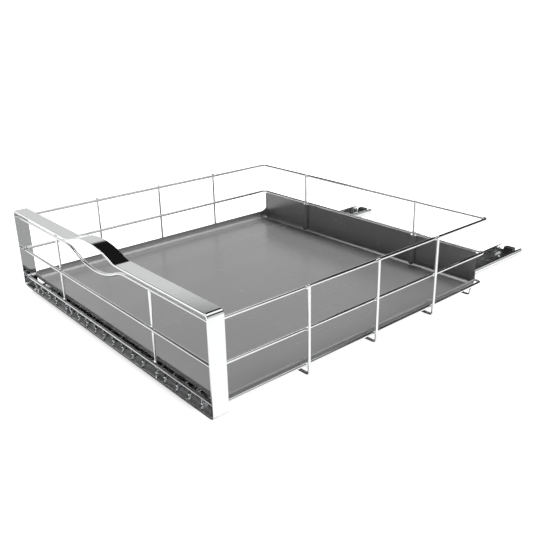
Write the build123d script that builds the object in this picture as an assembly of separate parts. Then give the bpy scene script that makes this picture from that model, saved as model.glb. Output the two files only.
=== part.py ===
# Pull-out cabinet organizer: a chrome wire basket with a flat front band, arched
# handle and lift-out steel tray, on two ball-bearing runners that lie on the
# cabinet floor. Millimetres, +Z up. The cabinet floor is Z = 0, the front is
# towards -Y and X = 0 is the middle. The basket stands partly pulled out.
import math
import os

from build123d import *

# Front band and its handle
basket_width = 533.0
basket_depth = 526.0
band_height = 130.0
band_width = 22.0
band_thickness = 3.0
band_corner_radius = 6.0
band_edge_radius = 0.6
handle_length = 144.0
handle_rise = 13.0
handle_foot_radius = 45.0
grip_length = 168.0
grip_drop = 17.3
grip_foot_radius = 70.0

# Wires of the basket
hoop_wire = 4.6
post_wire = 4.0
base_wire = 3.0
weld_gap = 0.05
bottom_hoop_height = 14.3
middle_hoop_height = 63.0
top_hoop_height = 117.5
hoop_corner_radius = 6.0
hoop_setback = 7.0
post_bend_radius = 4.5
post_tip_radius = 1.8
post_overshoot = 4.0
first_cross_wire = 146.5
cross_wire_pitch = 124.5
cross_wire_count = 3
support_wire_place = 496.0
base_wire_bend = 3.0
base_wire_spaces = 20
long_wire_step = 5

# Tray
tray_thickness = 1.2
tray_clearance = 0.4
tray_seat_gap = 0.15
tray_front_gap = 1.2
tray_edge_radius = 12.5
lip_height = 14.6
lip_sweep_radius = 10.0
wall_setback = 1.8
wall_below_hoop = 1.2
rib_radius = 6.7

# Runners
runner_spacing = 364.0
runner_width = 45.0
runner_height = 12.7
runner_sheet = 1.2
bend_radius = 1.1
member_length = 500.0
cabinet_member_height = 11.2
cabinet_member_lip = 3.2
race_depth = 0.8
race_height = 4.4
intermediate_member_top = 9.6
intermediate_member_lip = 2.4
layer_gap = 0.3
ball_gap = 0.05
outer_ball = 3.5
inner_ball = 3.0
cage_sheet = 0.6
cage_length = 340.0
cage_setback = 2.0
cage_wing = 0.6
balls_in_cluster = 5
ball_pitch = 11.0
ball_margin = 9.0
bumper_width = 18.0
bumper_corner = 1.0
bumper_length = 12.0
bumper_clearance = 2.6
bumper_peg = 5.0
peg_clearance = 0.1
stop_gap = 0.3

# Travel of the basket from the pose shown here
push_in_travel = 213.0
pull_out_travel = 275.0

# Holes for the four screws into the cabinet floor, and the holes above them
mount_hole = 4.4
front_mount_inset = 36.0
rear_mount_inset = 40.0
access_hole = 10.0
cage_window_length = 14.0
cage_window_width = 7.0
cage_window_inset = 14.0

# Clips that hold the basket on the runners
clip_length = 30.0
clip_width = 10.0
clip_sheet = 1.2
clip_clearance = 0.1
clip_bend = 0.9
screw_diameter = 4.0
screw_length = 6.0
screw_head = 7.2
screw_head_height = 2.2
screw_spacing = 20.0
screw_clearance = 0.05

# Levels
cross_wire_z = runner_height + weld_gap + post_wire / 2
band_z = cross_wire_z + post_wire / 2 + weld_gap - band_thickness
deck_z = band_z + band_thickness
long_wire_z = deck_z + weld_gap + post_wire / 2
base_wire_z = deck_z + weld_gap + base_wire / 2
tray_z = long_wire_z + post_wire / 2 + tray_seat_gap
bottom_hoop_z = band_z + bottom_hoop_height
under_hoop_z = bottom_hoop_z - hoop_wire / 2 - weld_gap
middle_hoop_z = band_z + middle_hoop_height
top_hoop_z = band_z + top_hoop_height
post_top_z = top_hoop_z + post_overshoot
lip_top_z = tray_z + lip_height
wall_top_z = middle_hoop_z - wall_below_hoop

# Places along the travel
overall_length = basket_depth + push_in_travel + stop_gap + bumper_length
front_y = -overall_length / 2
rear_y = overall_length / 2
basket_rear_y = front_y + basket_depth
band_rear_y = front_y + band_width
stop_y = rear_y - bumper_length - stop_gap
cabinet_front_y = stop_y - member_length
cabinet_member_length = rear_y - cabinet_front_y
intermediate_rear_y = stop_y - push_in_travel / 2
outer_cage_rear_y = stop_y - push_in_travel / 4 - cage_setback
inner_cage_rear_y = intermediate_rear_y - push_in_travel / 4 - cage_setback
hoop_front_y = front_y + hoop_setback
hoop_rear_y = basket_rear_y - hoop_wire / 2
post_front_y = hoop_front_y + (hoop_wire + post_wire) / 2 + weld_gap
post_rear_y = hoop_rear_y - (hoop_wire + post_wire) / 2 - weld_gap
tray_front_y = post_front_y + post_wire / 2 + tray_front_gap
tray_rear_y = hoop_rear_y - hoop_wire / 2 - tray_clearance

# Places across the width
hoop_x = basket_width / 2 - band_thickness - weld_gap - hoop_wire / 2
post_x = hoop_x + (hoop_wire + post_wire) / 2 + weld_gap
tray_x = hoop_x - hoop_wire / 2 - tray_clearance
base_wire_pitch = 2 * hoop_x / base_wire_spaces
long_wire_x = long_wire_step * base_wire_pitch
runner_x = runner_spacing / 2

# Half-widths in a runner's section, from its middle outwards
cabinet_inside = runner_width / 2 - runner_sheet
outer_ball_x = cabinet_inside - ball_gap - outer_ball / 2
intermediate_half = cabinet_inside - outer_ball - 2 * ball_gap
intermediate_inside = intermediate_half - runner_sheet
inner_ball_x = intermediate_inside - ball_gap - inner_ball / 2
drawer_half = intermediate_inside - inner_ball - 2 * ball_gap

# Heights in a runner's section
outer_cage_z = runner_sheet + layer_gap
intermediate_z = outer_cage_z + cage_sheet + layer_gap
inner_cage_z = intermediate_z + runner_sheet + layer_gap
drawer_z = inner_cage_z + cage_sheet + layer_gap
outer_ball_z = cabinet_member_height / 2
inner_ball_z = (intermediate_z + intermediate_member_top) / 2

SIDES = {"left": -1, "right": 1}
UPRIGHT = (Align.CENTER, Align.CENTER, Align.MIN)
parts = {}


def wave_points(level, half_length, rise, foot_radius, offset):
    """Points (x, z) of two S-bends that meet in a crest, moved by offset along the normal."""
    way = math.copysign(1, rise)
    turn = 2 * math.atan(abs(rise) / half_length)
    arc_radius = foot_radius - way * offset
    foot = [
        (-half_length + arc_radius * math.sin(angle),
         level + way * (foot_radius - arc_radius * math.cos(angle)))
        for angle in (0, turn / 2, turn)
    ]
    crest = (0, level + rise + offset)
    return foot + [crest] + [(-x, z) for x, z in reversed(foot)]


def wave_arcs(points, y):
    """Draws the three arcs of a wave in the plane Y = y."""
    at = [Vector(x, y, z) for x, z in points]
    for first in (0, 2, 4):
        ThreePointArc(*at[first:first + 3])


def band_outline(inset):
    """Closed outline of the band, inset from its outer face."""
    half = basket_width / 2 - inset
    low = band_z + inset
    high = band_z + band_height - inset
    handle_half = handle_length / 2
    corners = [(-handle_half, high), (-half, high), (-half, low),
               (half, low), (half, high), (handle_half, high)]
    with BuildLine() as outline:
        FilletPolyline(*[(x, front_y, z) for x, z in corners], radius=band_corner_radius - inset)
        top = band_z + band_height
        wave_arcs(wave_points(top, handle_half, handle_rise, handle_foot_radius, -inset), front_y)
    return make_face(outline.edges())


def make_front_band():
    outer = extrude(band_outline(0), amount=band_width, dir=(0, 1, 0))
    inner = extrude(band_outline(band_thickness), amount=band_width, dir=(0, 1, 0))
    band = outer - inner
    faces = band.faces().sort_by(Axis.Y)
    return fillet(faces[0].edges() + faces[-1].edges(), band_edge_radius)


def round_wire(path, diameter):
    wire = path.wires()[0]
    section = Plane(origin=wire @ 0, z_dir=wire % 0) * Circle(diameter / 2)
    return sweep(section, path=wire)


def make_hoop(level):
    corners = [(-hoop_x, hoop_front_y), (-hoop_x, hoop_rear_y), (hoop_x, hoop_rear_y), (hoop_x, hoop_front_y)]
    with BuildLine() as path:
        FilletPolyline(*[(x, y, level) for x, y in corners], radius=hoop_corner_radius, close=True)
    return round_wire(path, hoop_wire)


def make_top_hoop():
    """The top hoop dips in front, below the handle, and leaves room for the fingers."""
    grip_half = grip_length / 2
    corners = [(-grip_half, hoop_front_y), (-hoop_x, hoop_front_y), (-hoop_x, hoop_rear_y),
               (hoop_x, hoop_rear_y), (hoop_x, hoop_front_y), (grip_half, hoop_front_y)]
    with BuildLine() as path:
        FilletPolyline(*[(x, y, top_hoop_z) for x, y in corners], radius=hoop_corner_radius)
        wave_arcs(wave_points(top_hoop_z, grip_half, -grip_drop, grip_foot_radius, 0), hoop_front_y)
    return round_wire(path, hoop_wire)


def make_post_wire(points):
    """A wire bent up at both ends, with rounded tips."""
    with BuildLine() as path:
        FilletPolyline(*points, radius=post_bend_radius)
    wire = round_wire(path, post_wire)
    tips = wire.faces().sort_by(Axis.Z)[-2:]
    return fillet(tips.edges(), post_tip_radius)


def make_cross_wire(place, half_width, top):
    """A wire that runs under the basket, its ends bent up half_width from the middle."""
    y = front_y + place
    return make_post_wire([(-half_width, y, top), (-half_width, y, cross_wire_z),
                           (half_width, y, cross_wire_z), (half_width, y, top)])


def make_long_wire(x):
    """A wire that runs under the tray and up the front and back, inside the hoops."""
    return make_post_wire([(x, post_front_y, post_top_z), (x, post_front_y, long_wire_z),
                           (x, post_rear_y, long_wire_z), (x, post_rear_y, post_top_z)])


def make_base_wire(x):
    """A thin wire under the tray, its ends bent up against the bottom hoop."""
    points = [(x, hoop_front_y, under_hoop_z), (x, hoop_front_y, base_wire_z),
              (x, hoop_rear_y, base_wire_z), (x, hoop_rear_y, under_hoop_z)]
    with BuildLine() as path:
        FilletPolyline(*points, radius=base_wire_bend)
    return round_wire(path, base_wire)


def base_wire_places():
    """X of each thin wire: an even row that leaves out the places of the two long wires."""
    last = base_wire_spaces // 2 - 1
    return [step * base_wire_pitch for step in range(-last, last + 1) if abs(step) != long_wire_step]


def tray_block(inset):
    """The tray's outer form, or with an inset the room inside it, open at the top."""
    low = tray_z + inset
    high = wall_top_z + inset
    length = tray_rear_y - tray_front_y - 2 * inset
    width = 2 * (tray_x - inset)
    block = Box(width, length, high - low, align=(Align.CENTER, Align.MIN, Align.MIN))
    block = Pos(0, tray_front_y + inset, low) * block
    upright = block.edges().filter_by(Axis.Z)
    round_edges = upright + block.faces().sort_by(Axis.Z)[0].edges()
    return fillet(round_edges, tray_edge_radius - inset)


def lip_cut():
    """Everything above the low lips, with the sweep up to the ends of the back wall."""
    width = 2 * tray_x + tray_edge_radius
    length = tray_rear_y - tray_front_y
    height = wall_top_z - lip_top_z
    block = Box(width, length, height, align=(Align.CENTER, Align.MAX, Align.MIN))
    block = Pos(0, tray_rear_y - wall_setback, lip_top_z) * block
    corner = block.faces().sort_by(Axis.Y)[-1].edges().sort_by(Axis.Z)[0]
    return fillet(corner, lip_sweep_radius)


def make_tray():
    outer = tray_block(0)
    shell = outer - tray_block(tray_thickness) - lip_cut()
    for x in (-long_wire_x, long_wire_x):
        at = Pos(x, tray_rear_y, tray_z)
        height = wall_top_z - tray_z
        rib = at * Cylinder(rib_radius, height, align=UPRIGHT)
        groove = at * Cylinder(rib_radius - tray_thickness, height, align=UPRIGHT)
        shell = shell + (rib & outer) - groove
    return shell


def sheet_member(points, thickness, rear, length, radius):
    """A formed strip: a bent centre line (x, z) with a thickness, drawn out along Y."""
    with BuildSketch(Plane.XZ) as section:
        with BuildLine():
            FilletPolyline(*points, radius=radius)
        trace(line_width=thickness)
    return Pos(0, rear, 0) * extrude(section.sketch, amount=length)


def mirrored(half):
    """The whole centre line from its right half, which is listed from the middle outwards."""
    return [(-x, z) for x, z in reversed(half)] + half


def mount_places():
    return [cabinet_front_y + front_mount_inset, rear_y - rear_mount_inset]


def access_places():
    """Screwdriver holes above the front floor screw, in the pose shown."""
    return [(0, mount_places()[0])]


def drill(solid, diameter, places, low, high):
    for x, y in places:
        hole = Cylinder(diameter / 2, high - low, align=UPRIGHT)
        solid = solid - Pos(x, y, low) * hole
    return solid


def make_cabinet_member():
    """The channel on the cabinet floor. Its sides bulge outwards where the balls run."""
    middle = runner_sheet / 2
    side = runner_width / 2 - middle
    inner = side - race_depth
    top = cabinet_member_height - middle
    race_low = outer_ball_z - race_height / 2
    race_high = outer_ball_z + race_height / 2
    half = [(inner, middle), (inner, race_low - race_depth), (side, race_low), (side, race_high),
            (inner, race_high + race_depth), (inner, top), (side - middle - cabinet_member_lip, top)]
    member = sheet_member(mirrored(half), runner_sheet, rear_y, cabinet_member_length, bend_radius)
    member = drill(member, mount_hole, [(0, y) for y in mount_places()], 0, runner_sheet)
    peg_y = rear_y - bumper_length / 2
    return drill(member, bumper_peg + 2 * peg_clearance, [(0, peg_y)], 0, runner_sheet)


def make_intermediate_member():
    middle = runner_sheet / 2
    side = intermediate_half - middle
    low = intermediate_z + middle
    top = intermediate_member_top - middle
    half = [(side, low), (side, top), (side - middle - intermediate_member_lip, top)]
    member = sheet_member(mirrored(half), runner_sheet, intermediate_rear_y, member_length, bend_radius)
    return drill(member, access_hole, access_places(), intermediate_z, intermediate_z + runner_sheet)


def make_drawer_member(side):
    middle = runner_sheet / 2
    flange = drawer_half - middle
    top = runner_height - middle
    member = sheet_member([(-flange, drawer_z), (-flange, top), (flange, top), (flange, drawer_z)],
                          runner_sheet, basket_rear_y, member_length, bend_radius)
    low = runner_height - runner_sheet
    member = drill(member, access_hole, access_places(), low, runner_height)
    return drill(member, screw_diameter + 2 * screw_clearance, screw_places(side), low, runner_height)


def make_cage(low, ball_x, rear, ball, ball_z):
    """A thin strip under the balls with a wing on each side that spaces them."""
    middle = cage_sheet / 2
    top = ball_z + ball / 2 + cage_wing
    points = [(-ball_x, top), (-ball_x, low + middle), (ball_x, low + middle), (ball_x, top)]
    cage = sheet_member(points, cage_sheet, rear, cage_length, bend_radius)
    for y in ball_places(rear):
        hole = Cylinder(ball / 2 + ball_gap, 2 * ball_x + 2 * cage_sheet, rotation=(0, 90, 0))
        cage = cage - Pos(0, y, ball_z) * hole
    window = extrude(SlotOverall(cage_window_length, cage_window_width), amount=cage_sheet)
    for y in (rear - cage_window_inset, rear - cage_length + cage_window_inset):
        cage = cage - Pos(0, y, low) * Rot(0, 0, 90) * window
    return drill(cage, access_hole, access_places(), low, low + cage_sheet)


def ball_places(rear):
    """Y of the balls in a row. Both clusters stay between the members at full travel."""
    steps = [step * ball_pitch for step in range(balls_in_cluster)]
    rear_start = rear + cage_setback - (push_in_travel + pull_out_travel) / 4 - ball_margin
    front_start = rear - cage_length + ball_margin
    return [rear_start - step for step in steps] + [front_start + step for step in steps]


def make_balls(ball_x, rear, ball, ball_z):
    places = [(x, y) for x in (-ball_x, ball_x) for y in ball_places(rear)]
    return Compound([Pos(x, y, ball_z) * Sphere(ball / 2) for x, y in places])


def make_rear_bumper():
    height = runner_height - runner_sheet - bumper_clearance
    body = Box(bumper_width, bumper_length, height, align=(Align.CENTER, Align.MAX, Align.MIN))
    body = fillet(body.edges().filter_by(Axis.Z), bumper_corner)
    body = Pos(0, rear_y, runner_sheet) * body
    peg = Cylinder(bumper_peg / 2, runner_sheet, align=UPRIGHT)
    return body + Pos(0, rear_y - bumper_length / 2, 0) * peg


def clip_x():
    """Middle of the clips, as near to the runner's middle as the thin wires beside them leave room."""
    wire = math.floor(runner_x / base_wire_pitch) * base_wire_pitch
    room = (base_wire + clip_width) / 2 + weld_gap
    return min(max(runner_x, wire + room), wire + base_wire_pitch - room) - runner_x


def clip_rows():
    """Y of the clips: over the first and the last of the tall cross wires."""
    last = first_cross_wire + (cross_wire_count - 1) * cross_wire_pitch
    return {"front": front_y + first_cross_wire, "rear": front_y + last}


def screw_places(side):
    steps = (-screw_spacing / 2, screw_spacing / 2)
    return [(side * clip_x(), y + step) for y in clip_rows().values() for step in steps]


def make_clip(side, y):
    """A saddle strip over a cross wire, screwed to the drawer member on both sides of it."""
    middle = clip_sheet / 2
    low = runner_height + middle
    top = cross_wire_z + post_wire / 2 + clip_clearance + middle
    shoulder = post_wire / 2 + clip_clearance + middle
    points = [(-clip_length / 2, low), (-shoulder, low), (-shoulder, top),
              (shoulder, top), (shoulder, low), (clip_length / 2, low)]
    with BuildSketch(Plane.YZ) as section:
        with BuildLine():
            FilletPolyline(*points, radius=clip_bend)
        trace(line_width=clip_sheet)
    clip = Pos(side * clip_x() - clip_width / 2, y, 0) * extrude(section.sketch, amount=clip_width)
    places = [(side * clip_x(), y - screw_spacing / 2), (side * clip_x(), y + screw_spacing / 2)]
    screw_hole = screw_diameter + 2 * screw_clearance
    return drill(clip, screw_hole, places, runner_height, runner_height + clip_sheet)


def make_clip_screw():
    base = runner_height + clip_sheet
    head = Cylinder(screw_head / 2, screw_head_height, align=UPRIGHT)
    shank = Cylinder(screw_diameter / 2, screw_length, align=(Align.CENTER, Align.CENTER, Align.MAX))
    return Pos(0, 0, base) * (head + shank)


def build_basket():
    parts["front_band"] = make_front_band()
    parts["top_hoop"] = make_top_hoop()
    parts["middle_hoop"] = make_hoop(middle_hoop_z)
    parts["bottom_hoop"] = make_hoop(bottom_hoop_z)
    for number in range(cross_wire_count):
        place = first_cross_wire + number * cross_wire_pitch
        parts[f"cross_wire_{number + 1}"] = make_cross_wire(place, post_x, post_top_z)
    parts["support_wire"] = make_cross_wire(support_wire_place, hoop_x, under_hoop_z)
    for name, side in SIDES.items():
        parts[f"{name}_long_wire"] = make_long_wire(side * long_wire_x)
    for number, x in enumerate(base_wire_places(), start=1):
        parts[f"base_wire_{number:02d}"] = make_base_wire(x)
    parts["tray"] = make_tray()


def build_runners():
    screws = []
    for name, side in SIDES.items():
        at = Pos(side * runner_x, 0, 0)
        parts[f"{name}_cabinet_member"] = at * make_cabinet_member()
        parts[f"{name}_intermediate_member"] = at * make_intermediate_member()
        parts[f"{name}_drawer_member"] = at * make_drawer_member(side)
        outer_row = (outer_ball_x, outer_cage_rear_y, outer_ball, outer_ball_z)
        inner_row = (inner_ball_x, inner_cage_rear_y, inner_ball, inner_ball_z)
        parts[f"{name}_outer_cage"] = at * make_cage(outer_cage_z, *outer_row)
        parts[f"{name}_outer_balls"] = at * make_balls(*outer_row)
        parts[f"{name}_inner_cage"] = at * make_cage(inner_cage_z, *inner_row)
        parts[f"{name}_inner_balls"] = at * make_balls(*inner_row)
        parts[f"{name}_rear_bumper"] = at * make_rear_bumper()
        for row, y in clip_rows().items():
            parts[f"{name}_{row}_clip"] = at * make_clip(side, y)
        screws += [at * Pos(x, y, 0) * make_clip_screw() for x, y in screw_places(side)]
    parts["clip_screws"] = Compound(screws)


build_basket()
build_runners()
os.makedirs("parts", exist_ok=True)
for node, shape in parts.items():
    export_step(shape, f"parts/{node}.step")
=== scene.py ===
import math

import bmesh
import bpy
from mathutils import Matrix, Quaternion, Vector, noise


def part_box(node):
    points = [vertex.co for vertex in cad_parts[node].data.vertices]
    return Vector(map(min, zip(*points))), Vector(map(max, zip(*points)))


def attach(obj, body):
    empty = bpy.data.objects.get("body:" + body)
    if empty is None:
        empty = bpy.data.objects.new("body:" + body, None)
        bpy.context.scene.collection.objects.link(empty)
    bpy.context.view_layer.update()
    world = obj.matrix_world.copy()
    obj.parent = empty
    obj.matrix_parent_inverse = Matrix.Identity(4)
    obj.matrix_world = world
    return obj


# Camera: places in metres, angles in degrees, lens and sensor in millimetres
CAMERA_X = 0.77805
CAMERA_FROM_FRONT = -0.3486
CAMERA_Z = 0.43793
CAMERA_AZIMUTH = 49.97
CAMERA_ELEVATION = 21.43
CAMERA_ROLL = -1.36
CAMERA_LENS = 44.73
SENSOR = 36.0

# Wire and half sizes of a weld bead, in metres. Lumps make a bead's surface uneven.
HOOP_WIRE = 0.0046
BEAD_LENGTH = 0.0042
BEAD_HEIGHT = 0.0026
BEAD_DEPTH = 0.0019
BEAD_SUBDIVISIONS = 3
LUMP_HEIGHT = 0.16
LUMP_SCALE = 1.6
LUMP_STEP = 3.1

# Studio: each part of the sky has the light that it gives and the brightness that reflections
# show. Azimuth 0 is +Y and 90 is +X, in degrees. A later card covers an earlier one.
SKY_BASE = (0.03, 0.03)
CARDS = [
    # azimuth, elevation, softness, light that it gives, brightness in reflections
    ((-129, -40), (-6, 25), 5, 0.1, 0.68),
    ((54, 84), (3, 27), 3, 0.3, 0.75),
    ((-180, 180), (50, 95), 4, 0.2, 1.1),
    ((-40, 70), (50, 76), 5, 11.2, 1.1),
    ((-150, -78), (49, 75), 5, 0.2, 3.5),
    ((-76, -21), (28, 62), 3, 0.0, 0.01),
]
SKY_SEEN = 1.1
FULL_TURN = 360

# The floor glows for the camera, apart from the shadow under the basket. For light and
# reflections it has painted shade: a dark patch under the basket and close to its front. In
# metres.
FLOOR_HALF = 6.0
FLOOR_SOFT = 0.03
SHADOW_X = (-0.3, 0.215)
SHADOW_BEHIND_FRONT = (0.015, 0.5)
# Painted shade patch on the floor, seen only by light and reflections: its place and tone
PAINTED_SHADE_X = (-0.3, 0.25)
PAINTED_SHADE_BEHIND_FRONT = (-0.04, 0.5)
PAINTED_SHADE_TONE = 0.04

# Half the spread of roughness on zinc
ZINC_SPREAD = 0.05


class Nodes:
    """Adds nodes to a tree. A value is a number, a tuple or the output of another node."""

    def __init__(self, tree):
        self.tree = tree

    def add(self, kind, inputs=None, **settings):
        node = self.tree.nodes.new(kind)
        for key, value in settings.items():
            setattr(node, key, value)
        for key, value in (inputs or {}).items():
            if isinstance(value, bpy.types.NodeSocket):
                self.tree.links.new(value, node.inputs[key])
            else:
                node.inputs[key].default_value = value
        return node

    def math(self, operation, *values):
        node = self.add("ShaderNodeMath", dict(enumerate(values)), operation=operation)
        return node.outputs[0]

    def opposite(self, value):
        return self.math("SUBTRACT", 1.0, value)

    def ramp(self, value, low, high, out_low=0.0, out_high=1.0):
        inputs = {"Value": value, "From Min": low, "From Max": high,
                  "To Min": out_low, "To Max": out_high}
        return self.add("ShaderNodeMapRange", inputs, interpolation_type="SMOOTHSTEP").outputs[0]

    def between(self, value, low, high, soft):
        """1 from low to high and 0 outside, with soft borders."""
        rise = self.ramp(value, low - soft / 2, low + soft / 2)
        fall = self.ramp(value, high - soft / 2, high + soft / 2, out_low=1.0, out_high=0.0)
        return self.math("MULTIPLY", rise, fall)

    def place(self, scale=(1, 1, 1), turn=0.0):
        """The place on the object, in metres, turned about Z by degrees and scaled."""
        where = self.add("ShaderNodeTexCoord").outputs["Object"]
        inputs = {"Vector": where, "Scale": scale, "Rotation": (0, 0, math.radians(turn))}
        return self.add("ShaderNodeMapping", inputs).outputs[0]

    def split(self, vector):
        return self.add("ShaderNodeSeparateXYZ", {"Vector": vector}).outputs

    def noise(self, vector, scale, detail, roughness=0.5):
        inputs = {"Vector": vector, "Scale": scale, "Detail": detail, "Roughness": roughness}
        return self.add("ShaderNodeTexNoise", inputs).outputs["Fac"]

    def bump(self, height, strength, distance):
        inputs = {"Height": height, "Strength": strength, "Distance": distance}
        return self.add("ShaderNodeBump", inputs).outputs[0]

    def light_path(self, output):
        return self.add("ShaderNodeLightPath").outputs[output]

    def blend(self, value, low, high):
        """Mixes two values."""
        inputs = {"Factor": value, "A": low, "B": high}
        return self.add("ShaderNodeMix", inputs, data_type="FLOAT").outputs["Result"]

    def mix(self, value, low, high):
        """Mixes two colours."""
        inputs = {"Factor": value, "A": low, "B": high}
        return self.add("ShaderNodeMix", inputs, data_type="RGBA").outputs["Result"]


def grey(level, tint=0.0):
    return (level - tint, level, level + tint, 1)


def new_material(name, links, constants):
    """A material with a function in links for each linked socket, which gets the node builder."""
    material = bpy.data.materials.new(name)
    material.use_nodes = True
    n = Nodes(material.node_tree)
    shader = n.tree.nodes["Principled BSDF"]
    for socket, make in links.items():
        n.tree.links.new(make(n), shader.inputs[socket])
    for socket, value in constants.items():
        shader.inputs[socket].default_value = value
    return material


def chrome(name, low=0.025, high=0.05):
    """Chrome plate with a roughness from low to high."""
    def colour(n):
        clouds = n.noise(n.place(), scale=90, detail=4)
        return n.mix(clouds, grey(0.86, tint=0.008), grey(0.93, tint=0.006))

    def roughness(n):
        return n.ramp(n.noise(n.place(), scale=60, detail=4), 0.35, 0.7, low, high)

    def normal(n):
        return n.bump(n.noise(n.place(), scale=260, detail=2), strength=0.02, distance=0.0006)

    links = {"Base Color": colour, "Roughness": roughness, "Normal": normal}
    return new_material(name, links, {"Metallic": 1.0})


def tray_coat():
    """A satin grey coat with faint streaks along the tray."""
    def mottle(n):
        along = n.place(scale=(160, 3, 160), turn=11)
        streaks = n.noise(along, scale=1.0, detail=4, roughness=0.6)
        clouds = n.noise(n.place(), scale=14, detail=3)
        return n.math("ADD", n.math("MULTIPLY", streaks, 0.5), n.math("MULTIPLY", clouds, 0.5))

    def colour(n):
        return n.mix(mottle(n), grey(0.28), grey(0.31))

    def roughness(n):
        return n.ramp(mottle(n), 0.3, 0.7, out_low=0.22, out_high=0.28)

    def normal(n):
        return n.bump(n.noise(n.place(), scale=1500, detail=2), strength=0.02, distance=0.0003)

    links = {"Base Color": colour, "Roughness": roughness, "Normal": normal}
    return new_material("tray_coat", links, {"Metallic": 0.3, "IOR": 1.5})


def zinc(name, low, high, middle):
    """Zinc plate from a low to a high brightness, with rolling lines in its roughness."""
    def lines(n):
        return n.noise(n.place(scale=(1400, 12, 1400)), scale=1.0, detail=3, roughness=0.6)

    def colour(n):
        clouds = n.noise(n.place(), scale=40, detail=4)
        return n.mix(clouds, grey(low, tint=0.008), grey(high, tint=0.006))

    def roughness(n):
        return n.ramp(lines(n), 0.25, 0.75, middle - ZINC_SPREAD, middle + ZINC_SPREAD)

    def normal(n):
        return n.bump(lines(n), strength=0.05, distance=0.0002)

    links = {"Base Color": colour, "Roughness": roughness, "Normal": normal}
    return new_material(name, links, {"Metallic": 1.0})


def black_plastic():
    """Moulded plastic with a fine grain."""
    def colour(n):
        clouds = n.noise(n.place(), scale=120, detail=2)
        return n.mix(clouds, (0.012, 0.012, 0.013, 1), (0.024, 0.024, 0.026, 1))

    def grain(n):
        return n.noise(n.place(), scale=2500, detail=3)

    def roughness(n):
        return n.ramp(grain(n), 0.3, 0.7, out_low=0.42, out_high=0.55)

    def normal(n):
        return n.bump(grain(n), strength=0.2, distance=0.0002)

    links = {"Base Color": colour, "Roughness": roughness, "Normal": normal}
    return new_material("black_plastic", links, {"IOR": 1.5})


def dress(word, material):
    """Gives a material to every node with the word in its name."""
    for name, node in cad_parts.items():
        if word in name:
            for slot in node.material_slots:
                slot.material = material


def weld_places():
    """Centres of the welds between wires and on the band, each with the way its hoop runs."""
    places = []
    for hoop in ("bottom_hoop", "middle_hoop", "top_hoop"):
        low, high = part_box(hoop)
        z = high[2] - HOOP_WIRE / 2
        for number in (1, 2, 3):
            post_low, post_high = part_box(f"cross_wire_{number}")
            y = (post_low[1] + post_high[1]) / 2
            places += [(Vector((x, y, z)), Vector((0, 1, 0))) for x in (low[0], high[0])]
        for side in ("left", "right"):
            wire_low, wire_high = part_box(f"{side}_long_wire")
            x = (wire_low[0] + wire_high[0]) / 2
            for y in (low[1] + HOOP_WIRE, high[1] - HOOP_WIRE):
                places.append((Vector((x, y, z)), Vector((1, 0, 0))))
        for x in (low[0], high[0]):
            places.append((Vector((x, low[1] + HOOP_WIRE, z)), Vector((0, 1, 0))))
    return places


def make_welds():
    """One mesh with a bead of squeezed-out metal at each weld, each bead a lump of its own."""
    form = bmesh.new()
    for number, (centre, along) in enumerate(weld_places()):
        start = len(form.verts)
        bmesh.ops.create_icosphere(form, subdivisions=BEAD_SUBDIVISIONS, radius=1.0)
        across = Vector((0, 0, 1)).cross(along)
        form.verts.ensure_lookup_table()
        for vert in form.verts[start:]:
            way = vert.co.normalized()
            spot = way * LUMP_SCALE + Vector((number * LUMP_STEP, 0, 0))
            local = way * (1 + LUMP_HEIGHT * noise.noise(spot))
            vert.co = (centre + along * local.x * BEAD_LENGTH + across * local.y * BEAD_DEPTH
                       + Vector((0, 0, local.z * BEAD_HEIGHT)))
    mesh = bpy.data.meshes.new("weld_beads")
    form.to_mesh(mesh)
    form.free()
    for face in mesh.polygons:
        face.use_smooth = True
    welds = bpy.data.objects.new("weld_beads", mesh)
    bpy.context.scene.collection.objects.link(welds)
    mesh.materials.append(chrome("chrome_weld", low=0.06, high=0.14))
    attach(welds, "basket")


def add_sky():
    world = bpy.data.worlds.new("studio")
    bpy.context.scene.world = world
    world.use_nodes = True
    n = Nodes(world.node_tree)
    x, y, z = n.split(n.add("ShaderNodeTexCoord").outputs["Generated"])
    degree = math.degrees(1)
    elevation = n.math("MULTIPLY", n.math("ARCSINE", z), degree)
    azimuth = n.math("MULTIPLY", n.math("ARCTAN2", x, y), degree)

    light, look = SKY_BASE
    for (left, right), (low, high), soft, card_light, card_look in CARDS:
        mask = n.between(elevation, low, high, soft)
        if right - left < FULL_TURN:
            mask = n.math("MULTIPLY", mask, n.between(azimuth, left, right, soft))
        light = n.blend(mask, light, card_light)
        look = n.blend(mask, look, card_look)
    light = n.blend(n.light_path("Is Glossy Ray"), light, look)
    light = n.blend(n.light_path("Is Camera Ray"), light, SKY_SEEN)
    sky = n.add("ShaderNodeCombineColor", {"Red": light, "Green": light, "Blue": light})
    n.tree.links.new(sky.outputs[0], n.tree.nodes["Background"].inputs["Color"])


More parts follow.
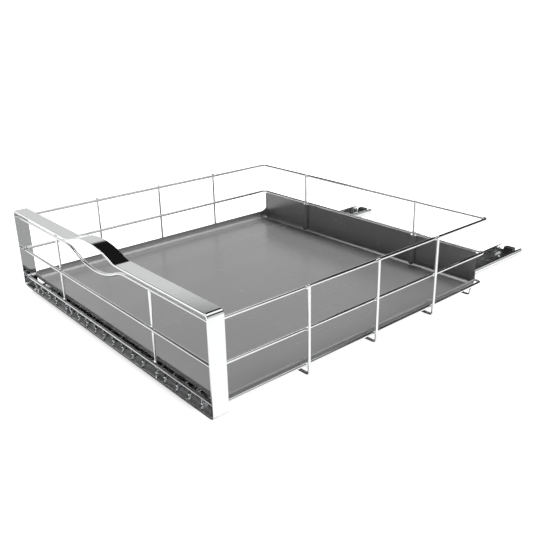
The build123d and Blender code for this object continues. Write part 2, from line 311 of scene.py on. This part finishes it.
def add_floor(front):
    mesh = bpy.data.meshes.new("floor")
    low, high = -FLOOR_HALF, FLOOR_HALF
    corners = [(low, low, 0), (high, low, 0), (high, high, 0), (low, high, 0)]
    mesh.from_pydata(corners, [], [(0, 1, 2, 3)])
    floor = bpy.data.objects.new("floor", mesh)
    bpy.context.scene.collection.objects.link(floor)

    def patch(n, x_range, behind_front):
        x, y, _ = n.split(n.place())
        near, far = behind_front
        along_x = n.between(x, *x_range, FLOOR_SOFT)
        along_y = n.between(y, front + near, front + far, FLOOR_SOFT)
        return n.math("MULTIPLY", along_x, along_y)

    def colour(n):
        pale = n.mix(n.noise(n.place(), scale=3, detail=2), grey(0.93), grey(0.95))
        unseen = n.opposite(n.light_path("Is Camera Ray"))
        # Painted shade: rays other than the camera's see the floor dark under and in front of the
        # basket
        painted_shade = n.math("MULTIPLY", unseen, patch(n, PAINTED_SHADE_X, PAINTED_SHADE_BEHIND_FRONT))
        return n.mix(painted_shade, pale, grey(PAINTED_SHADE_TONE))

    def roughness(n):
        return n.ramp(n.noise(n.place(), scale=5, detail=2), 0.3, 0.7, out_low=0.85, out_high=0.95)

    def glow(n):
        open_floor = n.opposite(patch(n, SHADOW_X, SHADOW_BEHIND_FRONT))
        return n.math("MULTIPLY", n.light_path("Is Camera Ray"), open_floor)

    links = {"Base Color": colour, "Roughness": roughness, "Emission Strength": glow}
    constants = {"Emission Color": (1, 1, 1, 1), "Specular IOR Level": 0.0}
    mesh.materials.append(new_material("floor", links, constants))


def add_camera(front):
    camera = bpy.data.objects.new("camera", bpy.data.cameras.new("camera"))
    bpy.context.scene.collection.objects.link(camera)
    azimuth = math.radians(CAMERA_AZIMUTH)
    elevation = math.radians(CAMERA_ELEVATION)
    forward = Vector((-math.sin(azimuth) * math.cos(elevation),
                      math.cos(azimuth) * math.cos(elevation), -math.sin(elevation)))
    camera.location = (CAMERA_X, front + CAMERA_FROM_FRONT, CAMERA_Z)
    camera.rotation_mode = "QUATERNION"
    roll = Quaternion((0, 0, 1), math.radians(CAMERA_ROLL))
    camera.rotation_quaternion = forward.to_track_quat("-Z", "Y") @ roll
    camera.data.sensor_width = SENSOR
    camera.data.lens = CAMERA_LENS
    bpy.context.scene.camera = camera


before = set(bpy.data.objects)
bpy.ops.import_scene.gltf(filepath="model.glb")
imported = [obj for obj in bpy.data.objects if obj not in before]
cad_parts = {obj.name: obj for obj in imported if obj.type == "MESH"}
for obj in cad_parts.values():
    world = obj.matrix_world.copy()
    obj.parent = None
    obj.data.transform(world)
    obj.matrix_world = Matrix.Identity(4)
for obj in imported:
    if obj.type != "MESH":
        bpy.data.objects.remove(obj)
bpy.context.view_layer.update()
wire_chrome = chrome("chrome_wire")
dress("hoop", wire_chrome)
dress("wire", wire_chrome)
dress("band", chrome("chrome_band"))
dress("tray", tray_coat())
dress("member", zinc("runner_zinc", low=0.74, high=0.82, middle=0.16))
dress("cage", zinc("cage_zinc", low=0.68, high=0.76, middle=0.22))
dress("clip", zinc("clip_zinc", low=0.66, high=0.76, middle=0.24))
dress("balls", chrome("ball_steel"))
dress("bumper", black_plastic())
make_welds()
add_sky()
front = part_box("front_band")[0][1]
add_floor(front)
add_camera(front)
bpy.context.scene.view_settings.view_transform = "Standard"
